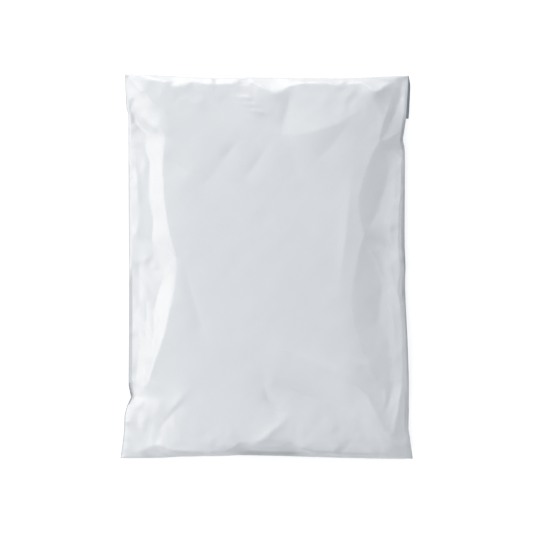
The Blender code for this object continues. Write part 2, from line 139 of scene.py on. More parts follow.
# Folds that the film is stretched over or pulled down by: (place across, place along, height), each in
# per cent, as above.
FOLDS = {
    "tongue shoulder": (
        (-95, 97.6, 50), (-88.7, 94.8, 66), (-85, 91.5, 75), (-79, 87.3, 84), (-73.5, 84, 89),
        (-69, 80.3, 92), (-66.8, 74.7, 92), (-66.2, 71, 92), (-67.9, 68.2, 90),
    ),
    "tongue ridge": ((-93, 83, 42), (-90, 80.4, 49), (-83.9, 76.6, 63), (-76.5, 73.6, 79), (-70, 69.6, 89)),
    "tongue valley": ((-91.5, 77.5, 34), (-87, 71.5, 43), (-81, 69, 56), (-75, 67, 71), (-69, 65, 87)),
    "left foot above": (
        (-92, 78, 36), (-88, 72, 44), (-83.9, 66.3, 54), (-79.5, 54.3, 61), (-79.5, 34.8, 61),
        (-76.5, 25, 63), (-77.5, 14, 61),
    ),
    "left band": (
        (-69, 65, 87), (-70, 58, 88), (-70.5, 50, 88), (-69.5, 34, 89), (-67, 22, 91), (-64, 12, 93),
        (-61.5, 5, 94),
    ),
    "left arch": ((-78, 13, 61), (-73, 12, 70), (-69.2, 10.1, 78), (-63, 6, 89), (-60.7, 3, 94)),
    "left tip": ((-60.7, 2, 94), (-65, 0, 86), (-70, -1, 75), (-76, -2, 63)),
    "left shoulder below": (
        (-60.7, 2, 94), (-60.6, -1, 94), (-61.9, -9.4, 93.5), (-64.3, -18.6, 93.5), (-69.2, -34.5, 91),
        (-72.9, -42.5, 86), (-77.1, -51.8, 77), (-80.8, -61, 64), (-85.7, -67, 46),
    ),
    "left foot below": (
        (-65.5, -1, 86), (-71.6, -9.4, 70), (-75.3, -18.6, 63), (-75.9, -34.5, 69), (-79, -44, 64),
        (-83, -54, 55),
    ),
    "left fin ridge": ((-87, 0, 45), (-86, -8, 47), (-86.5, -30, 48), (-87.5, -46, 45), (-88.5, -60, 39)),
    "right shoulder": (
        (95, 98, 22), (91.6, 95.2, 38), (86.1, 89.6, 63), (82.4, 80.3, 78), (78.8, 72, 84), (76.6, 64.3, 85),
    ),
    "right ridge": (
        (95.9, 95.2, 21), (91.6, 89.6, 40), (88, 81.2, 54), (84.3, 75.6, 63), (80.6, 69.2, 72),
        (76.6, 64.3, 85),
    ),
    "right facet above": (
        (76.6, 64.3, 85), (72.5, 59, 89), (69.6, 53.3, 91), (66, 45.9, 92), (62.3, 34.7, 95.5),
        (63, 27, 95.5), (66.3, 16.5, 93),
    ),
    "right foot above": (
        (76.6, 64.3, 85), (80, 57, 72), (83, 49.5, 62), (81, 42, 62), (78, 36, 63), (75.8, 28.5, 67),
        (71, 22.5, 77), (68.5, 19.2, 86), (66.3, 16.5, 93),
    ),
    "right shoulder below": (
        (66.3, 16.5, 93), (63, 8, 95), (60, -4, 96.5), (57.5, -16, 97), (60, -30, 95.5), (64, -40, 92),
        (70, -50, 85), (75, -58, 78),
    ),
    "right tip valley": ((66.3, 16.5, 93), (74, 13, 71), (81, 10.5, 62), (86, 8, 61)),
    "right foot below": (
        (66.3, 16.5, 93), (68.4, 12.1, 85), (72.6, 5.5, 73), (76.4, -2.9, 66), (78.4, -9.4, 63),
        (77, -18.6, 64), (75.7, -28, 66), (80.6, -34.5, 63), (83, -42, 62), (85.5, -50, 62),
        (83, -59, 66), (80.5, -67, 76), (84, -75, 77), (87, -84, 75), (92.5, -93, 64),
    ),
    "right corner ridge": (
        (60, -68, 94), (67, -75, 91), (73, -82, 87), (79.5, -90, 82), (88, -95, 69), (96.6, -98.6, 38),
    ),
    "right fin": (
        (92.4, 55, 58), (92.4, 48, 60), (91.8, 39.7, 63), (90.4, 26.7, 66), (90, 11, 66), (90.4, 5, 66),
        (91.2, 1, 65), (91, -4.6, 64), (89.8, -9.8, 65), (89.4, -13.4, 66), (91.1, -17.6, 64),
        (92.3, -22.8, 61), (92.8, -30, 60), (92.6, -38, 60), (92.8, -52, 60), (92, -60, 62),
        (91.5, -66, 67), (90.6, -70, 70), (90.6, -75, 72), (89.6, -79, 73), (90.2, -83, 72), (92.5, -90, 64),
    ),
    "right pucker ridge": ((76.6, 64.3, 85), (83, 66, 73), (90, 69, 60)),
    "right pucker valley": ((76.6, 64.3, 85), (82, 60.5, 66), (88, 60, 54), (93, 61.5, 36)),
    "top rim": (
        (-84, 97, 75), (-79, 96.5, 80), (-72.9, 96, 86), (-69.2, 95.2, 89), (-64.3, 91.9, 92),
        (-57, 93.3, 91), (-52.1, 94.7, 91), (-48.4, 95.4, 89), (-44.8, 94.4, 93), (-37.4, 93.8, 94),
        (-20.3, 94.3, 94), (-17.3, 95.4, 90), (-11.8, 95.6, 88), (-5, 93, 94), (0, 90.5, 99),
        (5, 88.4, 102), (10, 89.8, 100), (15.9, 92.9, 95), (23.2, 94.4, 93), (37.9, 94.4, 92),
        (47.6, 93.8, 91), (52.5, 92.9, 91), (56.2, 94.2, 88), (64.7, 94.7, 86), (68.4, 93.3, 89),
        (70.9, 91, 93), (74.5, 90, 94), (78.2, 91.4, 88), (81.8, 94.3, 73), (89.1, 96.1, 44),
    ),
    "bottom rim": (
        (-90, -97, 32), (-84, -95.5, 44), (-78, -93.5, 56), (-72, -92.5, 68), (-66, -95, 76),
        (-56, -95.8, 85), (-40, -95.8, 92), (-27, -95.5, 95), (-22, -93.5, 97), (-17, -89, 99),
        (-12, -91, 98), (-7, -93.4, 97), (8, -93.4, 97), (14, -91, 98), (18, -90, 98), (24, -94, 97),
        (34, -95.5, 96), (50, -96.4, 92), (64, -96.9, 86), (72, -97, 81), (80, -97, 74), (88, -97, 64),
    ),
}

# Painted shade at the bottom fold, in the grey of the cut edges: (place across, share in its roll, share
# that fades above it).
HEM_SHADE = (
    (-100, 0, 0), (-66, 0, 0), (-60, 0.4, 0), (-36, 0.1, 0), (-26, 0.3, 0.4), (-11, 1.35, 0.6),
    (14, 1.35, 0.6), (29, 0.5, 0.6), (60, 0.2, 0.4), (80, 0, 0), (100, 0, 0),
)

# Painted shade in the welds, and grey at their cut edges, partly the film's grey inside and partly painted
# shade: (place along, share in the weld, share at its cut edge).
LEFT_GREY_AND_SHADE = (
    (-100, 0, 0.5), (-72, 0, 0.8), (-66, 0.4, 0.9), (-60, 0, 0.5), (-2, 0, 0.4), (8, 0, 0.9), (50, 0, 1),
    (58, 0, 0.5), (100, 0, 0.5),
)
RIGHT_GREY_AND_SHADE = (
    (-100, 0.2, 0.3), (-90, 0.1, 0.3), (-83, 0.5, 0.5), (-76, 0.8, 0.6), (-69, 0.6, 0.5), (-62, 0.05, 0.5),
    (-35, 0.05, 0.5), (-28, 0.2, 0.7), (-20, 0.8, 0.9), (-13, 1.1, 1), (-6, 0.8, 0.8), (-1, 0.05, 0.7),
    (3, 0.7, 0.8), (11, 1.3, 0.9), (27, 1.1, 0.9), (40, 0.8, 0.9), (53, 0.3, 0.9), (59, 0.1, 0.9),
    (63, 0.8, 1), (66, 1.3, 1), (70, 1.1, 1), (76, 0.6, 0.9), (80, 0.1, 0.8), (100, 0.05, 0.8),
)

# How far the flap's right end is cut back: (share of its depth above its cut edge, distance in metres).
FLAP_END = ((0, 0.0017), (0.78, 0), (1, 0.0013))

# Soft lines on the face: the places that they pass in per cent (place across, place along), their rise in
# metres, which is negative for a valley, and the distance in metres over which they die away.
CREASES = {
    "upper right fold": (((10, 66), (12, 76), (15, 84), (18, 92)), -0.0022, 0.009),
    "upper right ledge": (((10, 66), (30, 69), (47, 73), (62, 80), (71, 86)), 0.0042, 0.026),
    "upper right valley": (((31, 52), (45, 63), (58, 76)), -0.0012, 0.010),
    "right streak": (((58, 50), (54, 20), (49, -14)), 0.0018, 0.010),
    "upper left streak": (((-31, 54), (-20, 64)), -0.0012, 0.006),
    "upper middle streak": (((-16, 43), (-8, 52), (1, 62)), -0.0012, 0.007),
    "upper left arc": (((-59, 34), (-40, 44), (-22, 60)), -0.0009, 0.012),
    "shoulder streak": (((-70, 60), (-60, 52), (-50, 47)), -0.0014, 0.006),
    "left valley": (((-58, 8), (-53, -8), (-47, -24), (-40, -41)), -0.0012, 0.005),
    "shelf streak above": (((87.5, 56), (87, 40), (85.5, 24)), 0.0009, 0.0018),
    "shelf streak": (((83.5, 30), (84, 16), (87, 2)), 0.0009, 0.0016),
    "shelf streak at the tip": (((66.8, 15.5), (71, 9), (76, 0), (79, -8)), 0.0024, 0.0020),
    "outer tip streak": (((80, 5), (84, -1), (87, -12)), 0.0012, 0.0018),
    "shelf streak below": (((84, -14), (86, -28), (88, -44)), 0.0009, 0.0018),
    "left shelf streak": (((-90, 60), (-88, 46), (-86, 26)), 0.0009, 0.0018),
    "left fin streak": (((-83, -6), (-81.5, -24), (-83, -44)), -0.0005, 0.0018),
    "lower valley": (((-2, -58), (15, -62), (36, -68), (50, -74), (64, -80)), -0.0042, 0.011),
    "middle valley": (((-2, -60), (1, -68), (8, -74), (16, -76)), -0.0024, 0.005),
    "hem ridge": (((16, -76), (8, -82), (-2, -88), (-14, -93)), 0.0026, 0.006),
    "lower ridge": (
        ((10, -43), (30, -48), (47, -54), (60, -60), (68, -66), (76, -78), (84, -92)), 0.0038, 0.007,
    ),
    "corner ridge": (((55, -48), (68, -51), (74, -57), (84, -67)), 0.0021, 0.005),
    "bottom dent": (((-14, -96), (-8, -92.5), (8, -92), (20, -95)), -0.0016, 0.004),
    "upper ripple": (((-22, 87.4), (-8, 86.2)), 0.0016, 0.0020),
    "middle ripple": (((-18, 84.2), (-4, 82.4)), 0.0016, 0.0020),
    "lower ripple": (((-13, 80.7), (0, 78.6)), 0.0016, 0.0020),
    "rim dimple": (((-22, 93.5), (-17, 95), (-13, 95.2), (-9, 93.6)), -0.0014, 0.0026),
    "right corner pleat": (((94, -58), (91, -66), (88.5, -76), (86, -86)), 0.0026, 0.0022),
    "right corner dent": (((86, -58), (84.5, -66), (81, -74)), -0.0032, 0.0026),
    "inner corner dent": (((80, -62), (81.5, -68), (80, -74)), 0.0018, 0.0022),
    "lower corner pleat": (((79, -84), (86, -90.5), (94, -97)), 0.0026, 0.0024),
    "corner dent": (((84, -84), (89, -89), (95, -96)), -0.0018, 0.0022),
    "lower swell": (((-60, -90), (-20, -92), (20, -92), (60, -88)), 0.0042, 0.032),
    "lower left ridge": (((-52, -62), (-60, -70), (-71, -81)), 0.0018, 0.005),
    "lower left valley": (((-52, -67), (-66, -77), (-76, -88)), -0.0021, 0.006),
}


def metres(name, default, text):
    """A size that a user can change."""
    return FloatProperty(name=name, description=text, default=default, precision=5, unit="LENGTH")


def repeats(name, default, text):
    """How often a step is repeated."""
    return IntProperty(name=name, description=text, default=default, min=0)


def tint(name, default, text):
    """A colour that a user can change."""
    return FloatVectorProperty(name=name, description=text, subtype="COLOR", size=3, default=default)


class MailerFilmSettings(bpy.types.PropertyGroup):
    """The film bag over its load."""

    width: metres("Width", 0.252, "Across the bottom corners")
    length: metres("Length", 0.331, "From the bottom fold to the top fold")
    load_height: metres("Load height", 0.036, "Height of the film over the load")
    load_crown: metres("Load crown", 0.0022, "Further rise along the middle of the face")
    load_width: metres("Load width", 0.150, "Across the top of the load")
    load_length: metres("Load length", 0.272, "Along the top of the load")
    load_shift: metres("Load shift", -0.016, "How far the load lies towards the flap")
    load_drop: metres("Load drop", 0.0010, "How far the load's top falls away at its rim")
    load_squareness: IntProperty(
        name="Load squareness", description="Power that makes the load's outline square", default=4
    )
    load_power: IntProperty(
        name="Load power", description="Power that keeps the load's top flat up to its rim", default=4
    )
    rest_width: metres("Rest width", 0.176, "Width of the back that lies flat")
    rest_length: metres("Rest length", 0.262, "Length of the back that lies flat")
    rest_shift: metres("Rest shift", -0.012, "How far the flat part lies towards the flap")
    weld_width: metres("Weld width", 0.003, "Width of the welded edge")
    fold_width: metres("Fold width", 0.001, "Width of the folded edges at the ends")
    film_thickness: metres("Film thickness", 0.0005, "Thickness of the two layers at the welded edge")
    puff: FloatProperty(
        name="Puff", description="How much air rounds the film, for each metre of mesh step", default=0.00035,
        precision=5
    )
    mesh_step: metres("Mesh step", 0.00115, "Spacing of the film's mesh on the face")
    stretching: repeats("Stretching", 700, "Rounds that pull the film taut")
    stiffness: repeats("Stiffness", 90, "Rounds that let the film bridge its hollows")
    softening: repeats("Softening", 3, "Rounds that round off each fold")
    colour: tint("Film colour", (0.705, 0.72, 0.745), "White outside of the film")
    # Also the colour of the painted shade in the welds and the bottom fold.
    edge_and_shade_colour: tint("Edge colour", (0.30, 0.335, 0.37), "Cut edges, where the grey inside shows")
    roughness: FloatProperty(
        name="Roughness", description="Roughness of the smooth film", default=0.34, subtype="FACTOR"
    )
    tone_change: FloatProperty(
        name="Tone change", description="How much the film's tone varies", default=0.05, subtype="FACTOR"
    )
    slack_width: metres("Slack width", 0.045, "How far in from the edge the film is crinkled")
    crinkle_height: metres("Crinkle height", 0.0030, "Height of the sharp crinkles near the edges")
    ripple_height: metres("Ripple height", 0.0013, "Height of the broad ripples")
    grain_height: metres("Grain height", 0.00006, "Height of the fine grain")


class MailerFlapSettings(bpy.types.PropertyGroup):
    """The flap that is glued down on the back."""

    depth: metres("Depth", 0.037, "Depth of its right end, from the top fold to its cut edge")
    skew: metres("Skew", 0.005, "How much less deep its left end is")
    width: metres("Width", 0.240, "Width along the top fold")
    shift: metres("Shift", 0.0038, "How far it lies to the right, where it pokes out past the drawn-in side")
    thickness: metres("Thickness", 0.0004, "Thickness of the film and its glue")
    step: metres("Mesh step", 0.0025, "Spacing of the flap's mesh")
    colour: tint("Inner colour", (0.19, 0.235, 0.28), "Grey inside of the film")


class MailerStageSettings(bpy.types.PropertyGroup):
    """The studio."""

    frame_width: metres("Frame width", 0.4592, "Width of the picture at the level of the bag's edge")
    lens: FloatProperty(name="Lens", description="Focal length in millimetres", default=180.0, unit="CAMERA")
    left_power: FloatProperty(
        name="Left light", description="Power of the light at the left", default=6.5205, unit="POWER"
    )
    top_power: FloatProperty(
        name="Top light", description="Power of the light beyond the top fold", default=8.5905, unit="POWER"
    )
    bottom_power: FloatProperty(
        name="Bottom light", description="Power of the light over the bottom fold", default=2.1735,
        unit="POWER"
    )
    ambient: FloatProperty(
        name="Room light", description="Strength of the room's own light", default=0.663575
    )
    lamp_colour: tint("Lamp colour", (1.0, 0.965, 0.90), "Colour of the lamps")
    room_colour: tint("Room colour", (0.92, 0.955, 1.0), "Colour of the room's own light")


def edge_value(line, places, column=1):
    """Value between the listed points of an edge, a lift, a grey or a painted shade, at places from -1 to 1.
    """
    points = np.array(line, float) * PER_CENT
    return np.interp(places, points[:, 0], points[:, column])


def drawn_in(across, up):
    """Where a point of the flat film lies once the load has drawn the edges in. Both run from -1 to 1."""
    left, right = edge_value(LEFT_EDGE, up) + 1, edge_value(RIGHT_EDGE, up) - 1
    bottom, top = edge_value(BOTTOM_EDGE, across) + 1, edge_value(TOP_EDGE, across) - 1
    x = across + np.where(across < 0, left, right) * np.abs(across) ** EDGE_POWER
    return x, up + np.where(up < 0, bottom, top) * np.abs(up) ** EDGE_POWER


def flattened(x, y):
    """The reverse of drawn_in."""
    across, up = x, y
    for _ in range(FLATTENING_ROUNDS):
        to_x, to_y = drawn_in(across, up)
        across = np.clip(across + x - to_x, -1, 1)
        up = np.clip(up + y - to_y, -1, 1)
    return across, up


def film_lines(size, low_band, high_band, step):
    """Places of the mesh lines from edge to edge, an even number of gaps, with a band along each edge."""
    low, high = -1 + 2 * low_band / size, 1 - 2 * high_band / size
    gaps = 2 * round(size * (high - low) / 2 / step / 2)
    return np.concatenate(([-1.0], np.linspace(low, high, gaps + 1), [1.0]))


class Film:
    """The skins of the bag as grids over one outline: columns run across the bag and rows along it.

    The lists of places and heights are shares of self.unit: half the width, half the length and the
    height of the load.
    """

    def __init__(self, settings):
        self.size = settings
        self.unit = np.array((settings.width / 2, settings.length / 2, settings.load_height))
        weld, step = settings.weld_width, settings.mesh_step
        self.columns = film_lines(settings.width, weld, weld, step)
        self.rows = film_lines(settings.length, settings.fold_width, settings.fold_width, step)
        x, y = drawn_in(*np.meshgrid(self.columns, self.rows))
        self.x = x * self.unit[0]
        self.y = y * self.unit[1]
        self.edge = np.ones(x.shape, bool)
        self.edge[2:-2, 2:-2] = False
        self.fold_points = set()

    def nearest(self, x, y):
        """Row and column of the grid point nearest to each place in metres."""
        across, up = flattened(x / self.unit[0], y / self.unit[1])
        column = np.abs(self.columns[:, None] - across).argmin(0)
        row = np.abs(self.rows[:, None] - up).argmin(0)
        return row, column

    def edge_height(self):
        """Height of the welded edge all round, and none inside it."""
        z = np.zeros_like(self.x)
        for ring, column in ((1, 2), (0, 1)):
            z[:, ring] = edge_value(LEFT_LIFT, self.rows, column)
            z[:, -1 - ring] = edge_value(RIGHT_LIFT, self.rows, column)
            z[ring] = edge_value(BOTTOM_LIFT, self.columns, column)
            z[-1 - ring] = edge_value(TOP_LIFT, self.columns, column)
        return z * self.unit[2]

    def fold(self, z, held, line):
        """Sets the grid points nearest to a fold onto it, and holds them at its height."""
        points = np.array(line, float) * PER_CENT * self.unit
        for start, end in zip(points, points[1:]):
            step = end - start
            length = np.hypot(*step[:2])
            t = np.linspace(0, 1, 2 + int(2 * length / self.size.mesh_step))
            row, column = self.nearest(start[0] + t * step[0], start[1] + t * step[1])
            free = ~self.edge[row, column]
            at = row[free], column[free]
            t = ((self.x[at] - start[0]) * step[0] + (self.y[at] - start[1]) * step[1]) / length**2
            t = np.clip(t, 0, 1)
            self.x[at] = start[0] + t * step[0]
            self.y[at] = start[1] + t * step[1]
            z[at] = start[2] + t * step[2]
            held[at] = True
            self.fold_points.update(zip(*(part.tolist() for part in at)))

    def stretch(self, z, held, floor, puff):
        """Relaxes the free points of z to a taut skin between the held ones, and never below the floor."""
        rows, columns = np.indices(z.shape)
        inner = np.zeros(z.shape, bool)
        inner[1:-1, 1:-1] = True
        red, black = (inner & ~held & ((rows + columns) % 2 == turn) for turn in (0, 1))
        for _ in range(self.size.stretching):
            for points in (red, black):
                mean = (np.roll(z, 1, 0) + np.roll(z, -1, 0) + np.roll(z, 1, 1) + np.roll(z, -1, 1)) / 4
                moved = z + OVER_RELAXED * (mean + puff - z)
                z[points] = np.maximum(moved, floor)[points]
        return z

    def load_top(self):
        """Height of the folded load under the face, and far below the floor outside it."""
        size = self.size
        side = 2 * np.abs(self.x) / size.load_width
        end = 2 * np.abs(self.y - size.load_shift) / size.load_length
        out = (side**size.load_squareness + end**size.load_squareness) ** (1 / size.load_squareness)
        top = size.load_height + size.load_crown * (1 - side**2) - size.load_drop * out**size.load_power
        return np.where(out < 1, top, -1.0)

    def distance_to(self, line):
        """Distance of each grid point from a crease, and how far along it lies (0 to 1)."""
        points = np.array(line, float) * PER_CENT * self.unit[:2]
        steps = np.diff(points, axis=0)
        lengths = np.hypot(*steps.T)
        best, share, gone = np.full(self.x.shape, np.inf), np.zeros(self.x.shape), 0.0
        for start, step, length in zip(points, steps, lengths):
            t = ((self.x - start[0]) * step[0] + (self.y - start[1]) * step[1]) / length**2
            t = np.clip(t, 0, 1)
            away = np.hypot(self.x - start[0] - t * step[0], self.y - start[1] - t * step[1])
            share = np.where(away < best, (gone + t * length) / lengths.sum(), share)
            best = np.minimum(best, away)
            gone += length
        return best, share

    def face_height(self):
        """The plain face: a skin over the load and its folds, with the soft creases laid on."""
        z = self.edge_height() + self.size.film_thickness / 2
        held = self.edge.copy()
        z[~held] = self.size.load_height / 2
        for line in FOLDS.values():
            self.fold(z, held, line)
        z = self.stretch(z, held, self.load_top(), self.size.puff * self.size.mesh_step)
        z = soften(z, self.size.stiffness, held)
        for line, rise, width in CREASES.values():
            away, share = self.distance_to(line)
            swell = np.sin(np.pi * np.clip(share, CREASE_START, CREASE_END))
            z += rise * np.exp(-away / width) * swell * ~self.edge
        return soften(z, self.size.softening, self.edge)

    def back_height(self):
        """The back: flat under the load, then up to the welded edge."""
        size = self.size
        z = self.edge_height() - size.film_thickness / 2
        flat_across = np.abs(self.x) < size.rest_width / 2
        flat_along = np.abs(self.y - size.rest_shift) < size.rest_length / 2
        held = self.edge | flat_across & flat_along
        return np.maximum(self.stretch(z, held, 0.0, 0.0), 0.0)

    def back_at(self, back, x, y):
        """Height of the back at a place in metres, by the four grid points round it."""
        across, up = flattened(x / self.unit[0], y / self.unit[1])
        column = np.interp(across, self.columns, np.arange(len(self.columns)))
        row = np.interp(up, self.rows, np.arange(len(self.rows)))
        left, low = min(int(column), len(self.columns) - 2), min(int(row), len(self.rows) - 2)
        right_share, high_share = column - left, row - low
        low_side = back[low, left] * (1 - right_share) + back[low, left + 1] * right_share
        high_side = back[low + 1, left] * (1 - right_share) + back[low + 1, left + 1] * right_share
        return low_side * (1 - high_share) + high_side * high_share


def soften(z, rounds, kept):
    """Draws each point towards its neighbours, round by round, but for the kept ones."""
    heights = z[kept]
    for _ in range(rounds):
        inner = (z[:-2, 1:-1] + z[2:, 1:-1] + z[1:-1, :-2] + z[1:-1, 2:]) / 4
        z[1:-1, 1:-1] = (z[1:-1, 1:-1] + inner) / 2
        z[kept] = heights
    return z


def closed_skins(film, face, back):
    """The film as a closed shell: a coarse grid for the back, extruded once and halved for the face.

    Each quad of the face that a fold crosses is split along the fold, so that it stays sharp.
    """
    bm = bmesh.new()
    slack, grey = bm.verts.layers.float.new("slack"), bm.verts.layers.float.new("edge")
    columns, rows = (len(film.columns) - 1) // 2, (len(film.rows) - 1) // 2
    bmesh.ops.create_grid(bm, x_segments=columns, y_segments=rows, size=1)
    raised = bmesh.ops.extrude_face_region(bm, geom=bm.faces[:])["geom"]
    for vert in raised:
        if isinstance(vert, bmesh.types.BMVert):
            vert.co.z = 1
    face_edges = [edge for edge in bm.edges if all(vert.co.z > 0.5 for vert in edge.verts)]
    bmesh.ops.subdivide_edges(bm, edges=face_edges, cuts=1, use_grid_fill=True)
    folded = set()
    for vert in bm.verts:
        row = round((vert.co.y + 1) * rows)
        column = round((vert.co.x + 1) * columns)
        on_face = vert.co.z > 0.5
        height = face if on_face else back
        vert.co = (film.x[row, column], film.y[row, column], height[row, column])
        inside = min(film.unit[0] - abs(vert.co.x), film.unit[1] - abs(vert.co.y))
        vert[slack] = max(0, 1 - inside / film.size.slack_width)
        # The grey of the cut edges and the painted shade of the welds and the bottom fold.
        vert[grey] = grey_and_shade_share(film, row, column)
        if on_face and (row, column) in film.fold_points:
            folded.add(vert)
    for quad in bm.faces[:]:
        corners = [vert for vert in quad.verts if vert in folded]
        if len(corners) == 2 and len(quad.verts) == 4:
            if not any(corners[1] is edge.other_vert(corners[0]) for edge in corners[0].link_edges):
                bmesh.utils.face_split(quad, *corners)
    bmesh.ops.recalc_face_normals(bm, faces=bm.faces)
    return new_mesh(bm, "film_bag")


def grey_and_shade_share(film, row, column):
    """How grey the film is at a grid point: most at the cut edges, with their grey inside and painted shade,
    less in the welds and the bottom fold, where it is painted shade.
    """
    across, up = film.columns[column], film.rows[row]
    weld = LEFT_GREY_AND_SHADE if across < 0 else RIGHT_GREY_AND_SHADE
    # Cut edges: the film's grey inside, with painted shade along them.
    if column == 0 or column == len(film.columns) - 1 and up < FLAP_FROM:
        return GREY_START + (1 - GREY_START) * edge_value(weld, up, 2) / PER_CENT
    from_side, from_hem = (1 - abs(across)) * film.unit[0], (up + 1) * film.unit[1]
    # Painted shade in the welds, and in the roll of the bottom fold and above it.
    share = max(
        edge_value(weld, up) * np.clip((WELD_REACH - from_side) / WELD_FADE, 0, 1),
        edge_value(HEM_SHADE, across) * np.clip((ROLL_REACH - from_hem) / ROLL_FADE, 0, 1),
        edge_value(HEM_SHADE, across, 2) * np.clip(1 - from_hem / HEM_FADE, 0, 1),
    ) / PER_CENT
    return GREY_START + PAINTED_SHADE_SCALE * share if share > 0 else 0.0


def new_mesh(bm, name):
    """A smooth mesh from a bmesh, which is freed."""
    mesh = bpy.data.meshes.new(name)
    bm.to_mesh(mesh)
    bm.free()
    mesh.shade_smooth()
    return mesh


def new_piece(mesh):
    """A piece that rides with the pack."""
    made = bpy.data.objects.new(mesh.name, mesh)
    bpy.context.scene.collection.objects.link(made)
    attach(made, "root")
    return made


def film_surface():
    """Shared group: the fine crinkles of blown film, its small changes of tone and of gloss."""
    if "film_surface" in bpy.data.node_groups:
        return bpy.data.node_groups["film_surface"]
    group = bpy.data.node_groups.new("film_surface", "ShaderNodeTree")
    socket = group.interface.new_socket
    for name, kind, default in (
        ("Colour", "NodeSocketColor", (0.7, 0.7, 0.7, 1)),
        ("Edge Colour", "NodeSocketColor", (0.3, 0.3, 0.3, 1)), ("Edge", "NodeSocketFloat", 0),
        ("Slack", "NodeSocketFloat", 0), ("Roughness", "NodeSocketFloat", 0.3),
        ("Tone Change", "NodeSocketFloat", 0.03), ("Crinkle Height", "NodeSocketFloat", 0.0003),
        ("Ripple Height", "NodeSocketFloat", 0.0003), ("Grain Height", "NodeSocketFloat", 0.00002),
    ):
        socket(name=name, in_out="INPUT", socket_type=kind).default_value = default
    socket(name="Colour", in_out="OUTPUT", socket_type="NodeSocketColor")
    socket(name="Roughness", in_out="OUTPUT", socket_type="NodeSocketFloat")
    socket(name="Normal", in_out="OUTPUT", socket_type="NodeSocketVector")
    nodes, links = group.nodes, group.links
    given, out = nodes.new("NodeGroupInput"), nodes.new("NodeGroupOutput")
    place = nodes.new("ShaderNodeTexCoord").outputs["Object"]

    def noise(scale, detail, kind="FBM", stretch=(1, 1, 1)):
        turned = nodes.new("ShaderNodeMapping")
        turned.vector_type = "TEXTURE"
        turned.inputs["Scale"].default_value = stretch
        turned.inputs["Rotation"].default_value = (0, 0, RIPPLE_TURN)
        made = nodes.new("ShaderNodeTexNoise")
        made.noise_type = kind
        made.inputs["Scale"].default_value = scale
        made.inputs["Detail"].default_value = detail
        links.new(place, turned.inputs["Vector"])
        links.new(turned.outputs["Vector"], made.inputs["Vector"])
        return made.outputs["Fac"]

    def mapped(value, low, high, to_low, to_high):
        made = nodes.new("ShaderNodeMapRange")
        links.new(value, made.inputs["Value"])
        for name, number in zip(("From Min", "From Max", "To Min", "To Max"), (low, high, to_low, to_high)):
            made.inputs[name].default_value = number
        return made.outputs["Result"]

    def calc(operation, first, second):
        made = nodes.new("ShaderNodeMath")
        made.operation = operation
        for side, value in enumerate((first, second)):
            if isinstance(value, (int, float)):
                made.inputs[side].default_value = value
            else:
                links.new(value, made.inputs[side])
        return made.outputs["Value"]

    def bump(height, distance, normal=None):
        made = nodes.new("ShaderNodeBump")
        links.new(height, made.inputs["Height"])
        links.new(distance, made.inputs["Distance"])
        if normal:
            links.new(normal, made.inputs["Normal"])
        return made.outputs["Normal"]

    ripple = noise(scale=28, detail=2, stretch=(1, 2.2, 1))
    ridges = noise(scale=70, detail=3, kind="RIDGED_MULTIFRACTAL")
    crinkle = calc("MULTIPLY", ridges, given.outputs["Slack"])
    grain = noise(scale=420, detail=2)
    normal = bump(ripple, given.outputs["Ripple Height"])
    normal = bump(crinkle, given.outputs["Crinkle Height"], normal)
    normal = bump(grain, given.outputs["Grain Height"], normal)
    links.new(normal, out.inputs["Normal"])
    tone = calc("SUBTRACT", noise(scale=45, detail=5), 0.5)
    tone = calc("ADD", calc("MULTIPLY", tone, given.outputs["Tone Change"]), 1)
    toned = nodes.new("ShaderNodeVectorMath")
    toned.operation = "SCALE"
    links.new(given.outputs["Colour"], toned.inputs["Vector"])
    links.new(tone, toned.inputs["Scale"])
    # The edge colour mixed in: grey at the cut edges, and painted shade in the welds and the bottom fold.
    mixed = nodes.new("ShaderNodeMix")
    mixed.data_type = "RGBA"
    greyness = mapped(given.outputs["Edge"], low=GREY_START, high=GREY_FULL, to_low=0, to_high=1)
    links.new(greyness, mixed.inputs["Factor"])
    links.new(toned.outputs["Vector"], mixed.inputs["A"])
    links.new(given.outputs["Edge Colour"], mixed.inputs["B"])
    links.new(mixed.outputs["Result"], out.inputs["Colour"])
    gloss = mapped(noise(scale=90, detail=4), low=0.3, high=0.7, to_low=0.85, to_high=1.2)
    links.new(calc("MULTIPLY", gloss, given.outputs["Roughness"]), out.inputs["Roughness"])
    return group


def film_material(name, colour, edge_and_shade_colour, settings):
    """The film in one colour, and in another at its cut edges and where shade is painted in its welds and
    fold.
    """
    made = bpy.data.materials.new(name)
    made.use_nodes = True
    nodes, links = made.node_tree.nodes, made.node_tree.links
    shader = nodes["Principled BSDF"]
    surface = nodes.new("ShaderNodeGroup")
    surface.node_tree = film_surface()
    surface.inputs["Colour"].default_value = (*colour, 1)
    surface.inputs["Edge Colour"].default_value = (*edge_and_shade_colour, 1)
    for setting in ("Roughness", "Tone Change", "Crinkle Height", "Ripple Height", "Grain Height"):
        surface.inputs[setting].default_value = getattr(settings, setting.lower().replace(" ", "_"))
    for attribute in ("Edge", "Slack"):
        read = nodes.new("ShaderNodeAttribute")
        read.attribute_name = attribute.lower()
        links.new(read.outputs["Fac"], surface.inputs[attribute])
    for output, socket in (("Colour", "Base Color"), ("Roughness", "Roughness"), ("Normal", "Normal")):
        links.new(surface.outputs[output], shader.inputs[socket])
    return made


class MAILER_OT_film_bag(bpy.types.Operator):
    """Model the film bag, stretched over its load"""

    bl_idname = "mailer.film_bag"
    bl_label = "Film Bag"

    def execute(self, context):
        settings = context.scene.mailer_film
        film = Film(settings)
        face, back = film.face_height(), film.back_height()
        face = np.maximum(face, back + settings.film_thickness)
        bag = new_piece(closed_skins(film, face, back))
        film_look = film_material("white_film", settings.colour, settings.edge_and_shade_colour, settings)
        bag.data.materials.append(film_look)
        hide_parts("mailer_bag")
        return {"FINISHED"}


